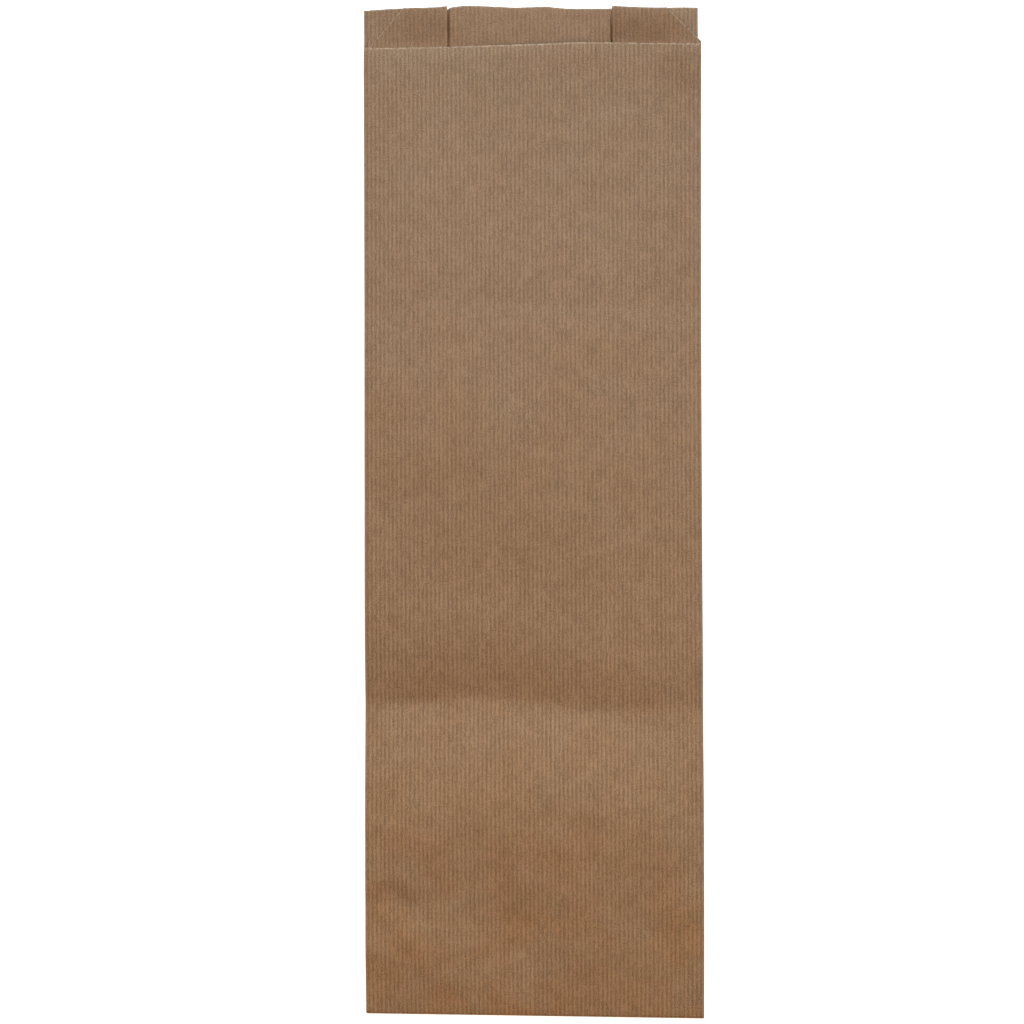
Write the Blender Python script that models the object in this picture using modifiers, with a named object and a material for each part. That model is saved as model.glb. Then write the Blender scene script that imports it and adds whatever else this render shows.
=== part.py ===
"""A flat side-gusset bag of ribbed kraft paper, the kind a lunch is carried in.

The bag is one folded sheet. It lies on its back with the front panel up (+Z) and its mouth towards +Y.
The web is folded into a tube: a back panel, a gusset at each side that is folded in half inwards, and a
front panel. A lap seam down the middle of the back closes the tube, and at the bottom the pressed tube is
turned up onto the back and glued. At the mouth the front panel is cut lower than the back, and the front
half of each gusset is cut away at a slant between the two heights.

The sheet is made as a flat grid. Each point of the grid is then carried to its folded place: its place
across the web picks a point of the tube's section, and its place along the web picks a height profile or
the turn at the bottom.
"""

import math

import bmesh
import bpy

# Driving dimensions, in metres
BAG_WIDTH = 0.120  # over the two side folds
OVERALL_LENGTH = 0.360  # from the turned bottom edge to the top of the back panel
GUSSET_DEPTH = 0.030  # how far each side is folded in
LIP_DROP = 0.0133  # how much lower the front panel is cut than the back panel
CORNER_RUN = 0.0125  # how far the slanted cut runs in from the side fold
TURN_UP = 0.018  # the bottom strip that is folded onto the back
SEAM_OVERLAP = 0.012
SEAM_RAMP = 0.004  # where the seam's upper layer climbs onto the lower one
PAPER = 0.0001
LAYER_GAP = 0.0002  # air between layers that are pressed together
GLUE_FILM = 0.00005
SEAM_GLUE_WIDTH = 0.008
GLUE_INSET = 0.003  # the glue stops this far from the edges of what it joins
GLUE_BITE = 0.00003  # how far a glue film reaches into the paper on each side
GLUE_ROW_SHIFT = 0.0002  # the film's rows lie this far past the sheet's, so that no edges coincide

# How far the bag has sprung open. Lift is the height of the front's side folds over the back panel, and
# crown is what the middle of the front rises above them.
LOW_LIFT = 0.0042
LOW_CROWN = 0.0028
CREASE_LIFT = 0.0036
CREASE_CROWN = 0.0016
HIGH_LIFT = 0.0044
HIGH_CROWN = 0.0030
MOUTH_LIFT = 0.0038
MOUTH_CROWN = 0.0020

# Where those heights are, along the bag
SETTLE = 0.025  # past the turn-up, where the back panel comes down to the table
LOW_CREST = 0.072  # highest place below the crease, from the bottom fold
CREASE = 0.110  # the crease across the bag, from the bottom fold
HIGH_CREST_RISE = 0.090  # highest place above the crease, from the crease
MOUTH_ZONE = 0.010  # below the front's cut edge, where the rows turn to follow the cut

# How finely the sheet is divided
FOLD_STEPS = 4
TURN_STEPS = 6
PANEL_STEPS = 8
BACK_STEPS = 3
SETTLE_STEPS = 3
LOW_STEPS = 3
CREASE_STEPS = 3
HIGH_STEPS = 4
UPPER_STEPS = 5
MOUTH_STEPS = 2

KRAFT_BROWN = (0.28, 0.18, 0.11, 1.0)
KRAFT_ROUGHNESS = 0.75

# What follows from them
PITCH = PAPER + LAYER_GAP
FOLD_RADIUS = PITCH / 2
SIDE = BAG_WIDTH / 2 - PAPER / 2  # the paper's mid-surface at a side fold
GUSSET_FOLD = SIDE - GUSSET_DEPTH
PRESSED_LIFT = 3 * PITCH  # four layers lie on each other where a gusset is pressed flat
TURN_REACH = FOLD_RADIUS + PRESSED_LIFT + PAPER / 2  # how far the turned layers stand out past the fold
BACK_LENGTH = OVERALL_LENGTH - TURN_REACH
FRONT_LENGTH = BACK_LENGTH - LIP_DROP
BOTTOM_FOLD_Y = TURN_REACH - OVERALL_LENGTH / 2
FLAT_Z = PAPER / 2  # mid-surface of what lies on the table
RAISED_Z = FLAT_Z + PRESSED_LIFT + 2 * FOLD_RADIUS  # the back panel where it lies on the turn-up
TURN_AXIS_Z = RAISED_Z - FOLD_RADIUS
SEAM_STEP = PAPER + GLUE_FILM


def smooth(share):
    """Rises from 0 to 1, level at both ends."""
    share = min(max(share, 0.0), 1.0)
    return share * share * (3 - 2 * share)


def spring(share):
    """Rises from 0 to 1, steep at the start and level at the end."""
    return math.sin(math.pi / 2 * min(max(share, 0.0), 1.0))


def between(low, high, share):
    return tuple(a + (b - a) * share for a, b in zip(low, high))


def loft(along):
    """(lift, crown) of the section at this distance from the bottom fold."""
    pressed = (PRESSED_LIFT, 0.0)
    low = (LOW_LIFT, LOW_CROWN)
    crease = (CREASE_LIFT, CREASE_CROWN)
    high = (HIGH_LIFT, HIGH_CROWN)
    mouth = (MOUTH_LIFT, MOUTH_CROWN)
    high_crest = CREASE + HIGH_CREST_RISE
    if along <= LOW_CREST:
        return between(pressed, low, smooth((along - TURN_UP) / (LOW_CREST - TURN_UP)))
    if along <= CREASE:
        return between(crease, low, spring((CREASE - along) / (CREASE - LOW_CREST)))
    if along <= high_crest:
        return between(crease, high, spring((along - CREASE) / HIGH_CREST_RISE))
    return between(high, mouth, smooth((along - high_crest) / (FRONT_LENGTH - high_crest)))


def bed(along):
    """Height of the back panel's mid-surface: up on the turn-up, then down on the table."""
    return RAISED_Z + (FLAT_Z - RAISED_Z) * smooth((along - TURN_UP) / SETTLE)


def spread(start, end, steps):
    """The points that divide a stretch evenly, without its first one."""
    return [start + (end - start) * k / steps for k in range(1, steps + 1)]


# A section point is (x, part of the lift, offset in height, crown share, cut). Its height over the back
# panel is lift * part + offset + crown * share, and cut is how far the sheet reaches up at that place.
def fold(x, part, offset, outward, cut):
    """A half circle that ends one layer above where it starts, bulging towards +X or -X."""
    points = []
    for k in range(1, FOLD_STEPS + 1):
        angle = math.pi * k / FOLD_STEPS
        reach = outward * FOLD_RADIUS * math.sin(angle)
        points.append((x + reach, part, offset - FOLD_RADIUS * math.cos(angle), 0.0, cut))
    return points


def slant(x):
    """How far the gusset's front half reaches up: it is cut at a slant beside the side fold."""
    from_side = SIDE - FOLD_RADIUS - abs(x)
    return FRONT_LENGTH + LIP_DROP * min(from_side / CORNER_RUN, 1.0)


def left_side():
    """From the back panel's left end to the front panel's left end, going up."""
    outer = -SIDE + FOLD_RADIUS
    inner = -GUSSET_FOLD - FOLD_RADIUS
    slant_end = outer + CORNER_RUN
    points = fold(outer, 0.0, FOLD_RADIUS, -1, BACK_LENGTH)
    for x in spread(outer, slant_end, 1) + spread(slant_end, inner, 1):
        share = (x - outer) / (inner - outer)
        points.append((x, 0.5 * share, PITCH - 1.5 * PITCH * share, 0.0, BACK_LENGTH))
    points += fold(inner, 0.5, 0.0, 1, BACK_LENGTH)
    for x in spread(inner, slant_end, 1) + spread(slant_end, outer, 1):
        share = (inner - x) / (inner - outer)
        points.append((x, 0.5 + 0.5 * share, FOLD_RADIUS - 1.5 * PITCH * share, 0.0, slant(x)))
    return points + fold(outer, 1.0, -FOLD_RADIUS, -1, FRONT_LENGTH)


def mirrored(points):
    """The same stretch on the right, walked the other way."""
    return [(-x, part, offset, crown, cut) for x, part, offset, crown, cut in reversed(points)]


def section():
    """The tube's section as one walk, from the seam's upper edge round to its lower edge."""
    half_seam = SEAM_OVERLAP / 2
    panel_end = SIDE - FOLD_RADIUS
    upper = [(half_seam, 0.0, SEAM_STEP, 0.0, BACK_LENGTH), (-half_seam, 0.0, SEAM_STEP, 0.0, BACK_LENGTH)]
    back_left = [(x, 0.0, 0.0, 0.0, BACK_LENGTH) for x in spread(-half_seam - SEAM_RAMP, -panel_end, BACK_STEPS)]
    back_left.insert(0, (-half_seam - SEAM_RAMP, 0.0, 0.0, 0.0, BACK_LENGTH))
    front = []
    for x in spread(-panel_end, panel_end, PANEL_STEPS):
        front.append((x, 1.0, 0.0, 1 - (x / panel_end) ** 2, FRONT_LENGTH))
    start_right = [(panel_end, 0.0, 0.0, 0.0, BACK_LENGTH)]
    back_right = [(x, 0.0, 0.0, 0.0, BACK_LENGTH) for x in spread(panel_end, -half_seam, BACK_STEPS + 1)]
    left = left_side()
    right = mirrored(left)[1:]
    return upper + back_left + left + front + right + start_right + back_right


def rows():
    """Places along the sheet, each ("flap" | "turn" | "main" | "mouth", how far)."""
    high_crest = CREASE + HIGH_CREST_RISE
    main = [0.0, TURN_UP]
    main += spread(TURN_UP, TURN_UP + SETTLE, SETTLE_STEPS)
    main += spread(TURN_UP + SETTLE, LOW_CREST, LOW_STEPS)
    main += spread(LOW_CREST, CREASE, CREASE_STEPS)
    main += spread(CREASE, high_crest, HIGH_STEPS)
    main += spread(high_crest, FRONT_LENGTH - MOUTH_ZONE, UPPER_STEPS)
    made = [("flap", TURN_UP)]
    made += [("turn", math.pi * k / TURN_STEPS) for k in range(TURN_STEPS, 0, -1)]
    made += [("main", along) for along in main]
    made += [("mouth", share) for share in spread(0.0, 1.0, MOUTH_STEPS)]
    return made


def place(row, point):
    """Where one point of the sheet lies, once it is folded."""
    kind, far = row
    x, part, offset, crown_share, cut = point
    if kind == "mouth":
        far = FRONT_LENGTH - MOUTH_ZONE + (cut - FRONT_LENGTH + MOUTH_ZONE) * far
    lift, crown = (PRESSED_LIFT, 0.0) if kind in ("flap", "turn") else loft(far)
    height = lift * part + offset + crown * crown_share
    radius = FOLD_RADIUS + height
    if kind == "flap":
        return x, BOTTOM_FOLD_Y + far, TURN_AXIS_Z - radius
    if kind == "turn":
        return x, BOTTOM_FOLD_Y - radius * math.sin(far), TURN_AXIS_Z + radius * math.cos(far)
    return x, BOTTOM_FOLD_Y + far, bed(far) + height


def linked(name, mesh, collection):
    obj = bpy.data.objects.new(name, mesh)
    collection.objects.link(obj)
    return obj


def folded_grid(name, across, along):
    """A flat grid with one column for each point across and one row for each place along, then folded."""
    bm = bmesh.new()
    columns, steps = len(across) - 1, len(along) - 1
    bmesh.ops.create_grid(bm, x_segments=columns, y_segments=steps, size=1.0)
    for vertex in bm.verts:
        column = round((vertex.co.x + 1) / 2 * columns)
        row = round((vertex.co.y + 1) / 2 * steps)
        vertex.co = place(along[row], across[column])
    bmesh.ops.recalc_face_normals(bm, faces=bm.faces)
    mesh = bpy.data.meshes.new(name)
    bm.to_mesh(mesh)
    bm.free()
    return mesh


def thicken(obj, thickness):
    """Paper or glue either side of the sheet that was folded."""
    wall = obj.modifiers.new("thickness", "SOLIDIFY")
    wall.thickness = thickness
    wall.offset = 0.0
    wall.use_even_offset = True


def glue_film(name, x_half, height, along, thickness, collection):
    """A film of glue between two layers, at this height over the back panel's mid-surface."""
    across = [(side * x_half, 0.0, height, 0.0, BACK_LENGTH) for side in (-1, 1)]
    film = linked(name, folded_grid(name, across, along), collection)
    thicken(film, thickness)
    film.hide_render = True
    film.display_type = "WIRE"
    return film


def seam_glue(collection):
    """Joins the lap seam's two layers from the turn-up to just below the mouth."""
    thickness = SEAM_STEP - PAPER + 2 * GLUE_BITE
    along = [("flap", TURN_UP - GLUE_INSET)]
    along += [("turn", math.pi * (k - 0.5) / TURN_STEPS) for k in range(TURN_STEPS, 0, -1)]
    along += [("main", far + GLUE_ROW_SHIFT) for kind, far in rows() if kind == "main"]
    return glue_film("seam_glue", SEAM_GLUE_WIDTH / 2, SEAM_STEP / 2, along, thickness, collection)


def turn_up_glue(collection):
    """Joins the turned-up strip to the back panel."""
    thickness = 2 * FOLD_RADIUS - PAPER + 2 * GLUE_BITE
    along = [("main", GLUE_INSET), ("main", TURN_UP - GLUE_INSET)]
    return glue_film("turn_up_glue", SIDE - GLUE_INSET, -FOLD_RADIUS, along, thickness, collection)


def kraft_paper():
    material = bpy.data.materials.new("kraft_paper")
    material.use_nodes = True
    shader = material.node_tree.nodes["Principled BSDF"]
    shader.inputs["Base Color"].default_value = KRAFT_BROWN
    shader.inputs["Roughness"].default_value = KRAFT_ROUGHNESS
    shader.inputs["Metallic"].default_value = 0.0
    material.diffuse_color = KRAFT_BROWN
    return material


def paper_bag(bag_parts, helpers):
    bag = linked("paper_bag", folded_grid("paper_bag", section(), rows()), bag_parts)
    bag.data.materials.append(kraft_paper())
    thicken(bag, PAPER)
    for film in (seam_glue(helpers), turn_up_glue(helpers)):
        join = bag.modifiers.new(film.name, "BOOLEAN")
        join.operation = "UNION"
        join.object = film
    return bag


def main():
    for old in list(bpy.data.objects):
        bpy.data.objects.remove(old)
    bag_parts = bpy.data.collections.new("brown paper lunch bag")
    helpers = bpy.data.collections.new("glue films")
    for collection in (bag_parts, helpers):
        bpy.context.scene.collection.children.link(collection)
    paper_bag(bag_parts, helpers)


main()
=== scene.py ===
# %% [markdown]
# # A flat lunch bag of ribbed kraft paper
#
# The real bag is one web of paper. A machine folds it into a tube with a gusset at each side, glues a lap
# seam down the back, cuts the mouth and turns the bottom up. It has never been filled, so it lies nearly
# flat, and what the eye reads is small: the ribs in the paper, one crease across the bag, and the way the
# mouth is cut.
#
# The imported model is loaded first. It gives the size of the bag, and everything below is made inside it.

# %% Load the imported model
import math

import bmesh
import bpy
import numpy as np
from mathutils import Euler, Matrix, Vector, noise


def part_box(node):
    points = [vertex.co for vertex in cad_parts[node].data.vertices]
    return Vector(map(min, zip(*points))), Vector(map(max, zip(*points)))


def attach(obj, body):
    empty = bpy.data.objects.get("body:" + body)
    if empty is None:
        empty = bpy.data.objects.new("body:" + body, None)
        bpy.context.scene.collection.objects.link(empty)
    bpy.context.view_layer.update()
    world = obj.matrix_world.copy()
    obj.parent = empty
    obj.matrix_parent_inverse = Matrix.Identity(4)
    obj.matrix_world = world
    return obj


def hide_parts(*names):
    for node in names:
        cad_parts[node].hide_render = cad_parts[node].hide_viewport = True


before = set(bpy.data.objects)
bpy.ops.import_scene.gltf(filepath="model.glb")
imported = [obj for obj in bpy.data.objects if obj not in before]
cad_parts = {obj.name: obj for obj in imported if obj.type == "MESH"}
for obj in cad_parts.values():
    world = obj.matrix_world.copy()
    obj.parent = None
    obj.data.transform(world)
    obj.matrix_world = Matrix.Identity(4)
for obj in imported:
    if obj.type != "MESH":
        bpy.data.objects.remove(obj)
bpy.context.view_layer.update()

MM = 0.001
LOW, HIGH = (Vector(corner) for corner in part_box("paper_bag"))
BAG_WIDTH = HIGH.x - LOW.x
BAG_LENGTH = HIGH.y - LOW.y
print(f"bag: {BAG_WIDTH / MM:.1f} x {BAG_LENGTH / MM:.1f} x {(HIGH.z - LOW.z) / MM:.1f} mm")

# %% [markdown]
# ## Camera
#
# The bag was photographed from straight above, by a camera that was about 64 cm away and not quite square
# to the table: the right side of the bag is a little nearer and so a little longer. The camera is placed by
# where it stands and by how far it is turned from looking straight down.

# %% Camera
CAMERA_PLACE = (15.9 * MM, 14.8 * MM, 644.4 * MM)
CAMERA_TURN = (-1.21, 2.08, -0.145)  # degrees about X, Y and Z, from looking straight down
FOCAL_IN_FRAMES = 1800 / 1024  # focal length as a share of the picture's width
SENSOR_WIDTH = 36.0  # millimetres, as Blender has it
NEAREST = 10 * MM  # the camera leaves out what is nearer than this

camera = bpy.data.objects.new("camera", bpy.data.cameras.new("camera"))
bpy.context.scene.collection.objects.link(camera)
camera.location = CAMERA_PLACE
camera.rotation_euler = Euler([math.radians(angle) for angle in CAMERA_TURN])
camera.data.sensor_width = SENSOR_WIDTH
camera.data.lens = SENSOR_WIDTH * FOCAL_IN_FRAMES
camera.data.clip_start = NEAREST
bpy.context.scene.camera = camera
print(f"camera: lens {camera.data.lens:.1f} mm at {camera.location.z:.3f} m")

# %% [markdown]
# ## Light and floor
#
# Daylight falls on the bag from beyond its mouth, low and a little from the right, and a weak warm lamp
# hangs over its bottom end. The low light is what shows the crease: the slope that faces the mouth is
# bright and cool, and the slope behind it is dark. The lamp makes the bag's lower end warmer. The room adds
# an even, dim light from all sides. The floor is a pale sweep that glows slightly, so that it stays white
# in the warm light too, and keeps only a thin shadow along the bag. Past its edge the camera sees plain
# white, which lights nothing.


# %% Helpers for colours and nodes
def srgb(code):
    """A hex colour as Blender's linear red, green, blue and alpha."""
    channels = [int(code[start : start + 2], 16) / 255 for start in (1, 3, 5)]
    linear = [c / 12.92 if c <= 0.04045 else ((c + 0.055) / 1.055) ** 2.4 for c in channels]
    return (*linear, 1.0)


def add_node(tree, kind, inputs=None, **settings):
    """Adds a node with its settings. An input takes a value, or a link where it is given another socket."""
    node = tree.nodes.new(kind)
    for name, value in settings.items():
        setattr(node, name, value)
    for key, value in (inputs or {}).items():
        if isinstance(value, bpy.types.NodeSocket):
            tree.links.new(value, node.inputs[key])
        else:
            node.inputs[key].default_value = value
    return node


print(f"#808080 is {srgb('#808080')[0]:.3f} in linear light")

# %% Lights
DAYLIGHT = (0.765, 0.995, 1.2)
LAMPLIGHT = (1.0, 0.64, 0.31)
WHITE = (1.0, 1.0, 1.0, 1.0)
ROOM_STRENGTH = 0.21
BACKDROP_STRENGTH = 1.0


def soft_light(name, colour, power, size, distance, elevation, bearing, aim):
    """A square soft light that faces a point on the bag. Its bearing is in degrees from +Y towards +X."""
    light = bpy.data.objects.new(name, bpy.data.lights.new(name, "AREA"))
    bpy.context.scene.collection.objects.link(light)
    light.data.energy = power
    light.data.color = colour
    light.data.size = size
    level = distance * math.cos(math.radians(elevation))
    offset = Vector(
        (
            level * math.sin(math.radians(bearing)),
            level * math.cos(math.radians(bearing)),
            distance * math.sin(math.radians(elevation)),
        )
    )
    light.location = Vector(aim) + offset
    light.rotation_euler = offset.to_track_quat("Z", "Y").to_euler()
    light.visible_camera = False
    return light


mouth_end, bottom_end = (0, BAG_LENGTH / 2, 0), (0, -BAG_LENGTH / 2, 0)
lights = (
    soft_light("daylight", DAYLIGHT, 45.0, size=0.5, distance=1.5, elevation=19, bearing=6, aim=mouth_end),
    soft_light("lamp", LAMPLIGHT, 1.33, size=0.4, distance=0.6, elevation=75, bearing=188, aim=bottom_end),
)
for light in lights:
    print(f"{light.name}: {light.data.energy:g} W, {light.location.z:.2f} m over the floor")

# %% The room
world = bpy.data.worlds.new("room")
bpy.context.scene.world = world
world.use_nodes = True
room = world.node_tree
room_light = room.nodes["Background"]
room_light.inputs["Color"].default_value = WHITE
room_light.inputs["Strength"].default_value = ROOM_STRENGTH
backdrop = add_node(room, "ShaderNodeBackground", {"Color": WHITE, "Strength": BACKDROP_STRENGTH})
seen = add_node(room, "ShaderNodeLightPath").outputs["Is Camera Ray"]
either = {0: seen, 1: room_light.outputs[0], 2: backdrop.outputs[0]}
shown = add_node(room, "ShaderNodeMixShader", either).outputs[0]
room.links.new(shown, room.nodes["World Output"].inputs["Surface"])
bpy.context.scene.view_settings.view_transform = "Standard"
print(f"room: strength {ROOM_STRENGTH} as light, {BACKDROP_STRENGTH} as backdrop")

# %% Floor
FLOOR_SIDE = 6.0
FLOOR_COLOUR = "#F4F4F2"
FLOOR_ROUGHNESS = 0.9
FLOOR_GLOW = 0.8

mesh = bpy.data.meshes.new("floor")
bm = bmesh.new()
bmesh.ops.create_grid(bm, x_segments=1, y_segments=1, size=FLOOR_SIDE / 2)
bm.to_mesh(mesh)
bm.free()
floor = bpy.data.objects.new("floor", mesh)
bpy.context.scene.collection.objects.link(floor)
white_sweep = bpy.data.materials.new("white_paper_sweep")
white_sweep.use_nodes = True
shader = white_sweep.node_tree.nodes["Principled BSDF"]
shader.inputs["Base Color"].default_value = srgb(FLOOR_COLOUR)
shader.inputs["Roughness"].default_value = FLOOR_ROUGHNESS
shader.inputs["Emission Color"].default_value = WHITE
shader.inputs["Emission Strength"].default_value = FLOOR_GLOW
mesh.materials.append(white_sweep)
print(f"floor: {FLOOR_SIDE:g} m square")

# %% [markdown]
# ## The folds
#
# The bag is a flat sheet, folded. Two lines say all there is to say about that: the section, which is the
# walk round the tube from one edge of the seam to the other, and the profile, which is the walk along the
# back panel from the turned-up strip to the mouth. Each point of the section knows how high it stands when
# the bag is pressed flat and how much it rises when the bag springs open, and each point of the profile
# knows how far the bag has sprung open there.
#
# The sheet could be drawn row by row, but then a change to a fold would mean changing every row. Here a
# Geometry Nodes tree multiplies the two lines instead: it makes a flat grid with a column for each point of
# the section and a row for each point of the profile, and carries each grid point to its folded place.

# %% Sizes of the sheet
PAPER = 0.1 * MM
PITCH = 0.3 * MM  # from one pressed layer to the next
FOLD_RADIUS = PITCH / 2
GUSSET_DEPTH = 30 * MM
FOLD_SHARE = 0.92  # how far up between back and front the gusset's inner fold stands
HUG = 5  # the higher, the sooner the gusset lies up against the front
CROWN_POWER = 2.5  # the higher, the flatter the front's middle and the steeper its sides
SEAM_OVERLAP = 12 * MM
SEAM_RAMP = 4 * MM
SEAM_STEP = 0.15 * MM  # from the seam's lower layer to its upper one, with the glue between them
TURN_UP = 18 * MM
SETTLE = 25 * MM
LIP_DROP = 13.3 * MM
CORNER_RUN = 12.5 * MM
LOW_CUT = 121.3 * MM  # width of the front's low cut, across the flat web
CUT_SHIFT = -1.5 * MM  # the cut does not sit quite square on the folds
CUT_ZONE = 40 * MM  # over this length the rows turn to follow the cut
FRAY = 0.45 * MM  # the last row lies this far from the one before it

SIDE = BAG_WIDTH / 2 - PAPER / 2
PANEL_END = SIDE - FOLD_RADIUS
PRESSED = 3 * PITCH
TURN_REACH = FOLD_RADIUS + PRESSED + PAPER / 2
WEB_LENGTH = BAG_LENGTH - TURN_REACH
BOTTOM_FOLD_Y = TURN_REACH - BAG_LENGTH / 2
FLAT_Z = PAPER / 2
RAISED_Z = FLAT_Z + PRESSED + 2 * FOLD_RADIUS
TURN_AXIS_Z = RAISED_Z - FOLD_RADIUS

FRONT_STEP = 1.5 * MM  # about how far apart the columns are
BACK_STEP = 3.0 * MM
GROOVE = (27.4 * MM, 31.0 * MM)  # the back panel bends sharply here at the mouth, so its columns are close
GROOVE_STEP = 0.33 * MM
GUSSET_STEP = 2.5 * MM
ROW_STEP = 1.9 * MM
FOLD_STEPS = 6
TURN_STEPS = 8


# %% The section
def run(stops, step):
    """Points that divide the stretches between stops evenly, near this step, without the first stop."""
    points = []
    for start, end in zip(stops, stops[1:]):
        count = max(1, round(abs(end - start) / step))
        points += [start + (end - start) * k / count for k in range(1, count + 1)]
    return points


def arch(x):
    """How much of the crown the front has at this distance from its middle."""
    return np.clip(1 - np.abs(x / PANEL_END) ** CROWN_POWER, 0, 1)


def layer(x, share, height):
    """A section point: (x, share of the front's lift, height when pressed, share of the front's crown)."""
    return (x, share, height - PRESSED * share, share * float(arch(x)))


def fold(x, share, height, outward):
    """A half circle up to the next layer."""
    angles = [math.pi * k / FOLD_STEPS for k in range(1, FOLD_STEPS + 1)]
    reach = outward * FOLD_RADIUS
    turned = [(x + reach * math.sin(a), height + FOLD_RADIUS * (1 - math.cos(a))) for a in angles]
    return [(place, share, up - PRESSED * share, share * float(arch(x))) for place, up in turned]


def hug(share):
    """How high between back and front the gusset stands, at this share of the way in from the side."""
    return FOLD_SHARE * (1 - (1 - share) ** HUG)


def side(outward, low_reach):
    """One side of the tube, going up from the back panel to the front. On the right, outward is 1.

    The front's low cut reaches low_reach from the front's middle, across the flat web."""
    outer, inner = PANEL_END, SIDE - GUSSET_DEPTH + FOLD_RADIUS
    slant_foot = 2 * PANEL_END + math.pi * FOLD_RADIUS - low_reach
    stops = [inner, slant_foot - CORNER_RUN] + [x for x in (slant_foot, outer) if x <= outer]
    points = fold(outer, 0.0, 0.0, 1)
    points += [layer(x, hug((outer - x) / (outer - inner)), PITCH) for x in run([outer, inner], GUSSET_STEP)]
    points += fold(inner, FOLD_SHARE, PITCH, -1)
    for x in run(stops, GUSSET_STEP):
        way_out = (x - inner) / (outer - inner)
        points.append(layer(x, FOLD_SHARE + (1 - FOLD_SHARE) * way_out ** HUG, 2 * PITCH))
    points += fold(outer, 1.0, 2 * PITCH, 1)
    return [(outward * x, share, height, crown) for x, share, height, crown in points]


def back_run(start, end):
    """Points along one side of the back panel, from the seam out to the fold or back in."""
    near, far = (math.copysign(x, start + end) for x in GROOVE)
    stops = [start, near, far, end] if abs(start) < abs(end) else [start, far, near, end]
    return run(stops[:2], BACK_STEP) + run(stops[1:3], GROOVE_STEP) + run(stops[2:], BACK_STEP)


def walk_round():
    """The whole section, from the seam's upper edge by the left side to the seam's lower edge."""
    half_seam = SEAM_OVERLAP / 2
    ramp = -half_seam - SEAM_RAMP
    low_left, low_right = LOW_CUT / 2 - CUT_SHIFT, LOW_CUT / 2 + CUT_SHIFT
    points = [(half_seam, 0.0, SEAM_STEP, 0.0), (-half_seam, 0.0, SEAM_STEP, 0.0), (ramp, 0.0, 0.0, 0.0)]
    points += [(x, 0.0, 0.0, 0.0) for x in back_run(ramp, -PANEL_END)]
    points += side(-1, low_left)
    points += [(x, 1.0, 0.0, float(arch(x))) for x in run([-PANEL_END, low_right, PANEL_END], FRONT_STEP)]
    points += side(1, low_right)[-2::-1]
    way_back = [PANEL_END] + back_run(PANEL_END, half_seam) + run([half_seam, -half_seam], BACK_STEP)
    points += [(x, 0.0, 0.0, 0.0) for x in way_back]
    return np.array(points).T


column_x, column_share, column_height, column_crown = walk_round()
steps = np.hypot(np.diff(column_x), np.diff(PRESSED * column_share + column_height))
column_web = np.concatenate([[0.0], np.cumsum(steps)])
column_web -= column_web[np.isclose(np.abs(column_x), PANEL_END) & (column_share == 1.0)].mean()
from_low_cut = np.abs(column_web - CUT_SHIFT) - LOW_CUT / 2
column_drop = -LIP_DROP * np.clip(1 - from_low_cut / CORNER_RUN, 0, 1)
print(f"section: {len(column_x)} columns, web {(column_web[-1] - column_web[0]) / MM:.1f} mm wide")

# %% [markdown]
# The height of the bag along its length is a second small drawing. It is given by a few stations, each with
# the height of the side folds over the back (lift) and of the front's middle over the side folds (crown),
# joined by level-ended curves. The crease is pressed into it afterwards.

# %% The profile
STATIONS = (  # from the bottom fold, lift, crown
    (0.0 * MM, PRESSED, 0.0),
    (66.0 * MM, 4.3 * MM, 2.6 * MM),
    (195.0 * MM, 3.85 * MM, 2.4 * MM),
    (345.0 * MM, 1.5 * MM, 1.1 * MM),
)
LOW_RISE = 1.1  # 1 is a quarter wave out of the bottom fold, and more than 1 starts more gently
HIGH_EASE = 0.75  # under 1, so that most of the fall to the mouth comes early


def smooth(share):
    """Rises from 0 to 1, level at both ends."""
    share = np.clip(share, 0, 1)
    return share * share * (3 - 2 * share)


def loft(along):
    """Lift and crown at this distance from the bottom fold, where they rise at once."""
    (_, lift, crown), (end, next_lift, next_crown) = STATIONS[:2]
    share = math.sin(math.pi / 2 * min(along / end, 1)) ** LOW_RISE
    lift, crown = lift + (next_lift - lift) * share, crown + (next_crown - crown) * share
    for (start, _, _), (end, next_lift, next_crown) in zip(STATIONS[1:], STATIONS[2:]):
        share = smooth(max((along - start) / (end - start), 0) ** HIGH_EASE)
        lift, crown = lift + (next_lift - lift) * share, crown + (next_crown - crown) * share
    return lift, crown


def walk_along():
    """Rows from the turned-up strip's edge to the mouth.

    Each is (along, y, z, up y, up z, lift, crown, mouth share)."""
    rows = []
    turn_length = math.pi * (FOLD_RADIUS + PRESSED)
    for far in [TURN_UP] + run([TURN_UP, 2 * FRAY], ROW_STEP):
        y, z = BOTTOM_FOLD_Y + far, TURN_AXIS_Z - FOLD_RADIUS
        rows.append((-turn_length - far, y, z, 0, -1, PRESSED, 0, 0))
    for k in range(TURN_STEPS, 0, -1):
        turn = math.pi * k / TURN_STEPS
        up_y, up_z = -math.sin(turn), math.cos(turn)
        y, z = BOTTOM_FOLD_Y + FOLD_RADIUS * up_y, TURN_AXIS_Z + FOLD_RADIUS * up_z
        rows.append((-turn_length * k / TURN_STEPS, y, z, up_y, up_z, PRESSED, 0, 0))
    for far in [0.0] + run([0.0, WEB_LENGTH - 2 * FRAY], ROW_STEP) + [WEB_LENGTH - FRAY, WEB_LENGTH]:
        bed = RAISED_Z + (FLAT_Z - RAISED_Z) * float(smooth((far - TURN_UP) / SETTLE))
        mouth = max(0.0, 1 - (WEB_LENGTH - far) / CUT_ZONE)
        rows.append((far, BOTTOM_FOLD_Y + far, bed, 0, 1, *loft(far), mouth))
    return np.array(rows, dtype=float).T


row_along, row_y, row_z, row_up_y, row_up_z, row_lift, row_crown, row_mouth = walk_along()
print(f"profile: {len(row_along)} rows")


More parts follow.
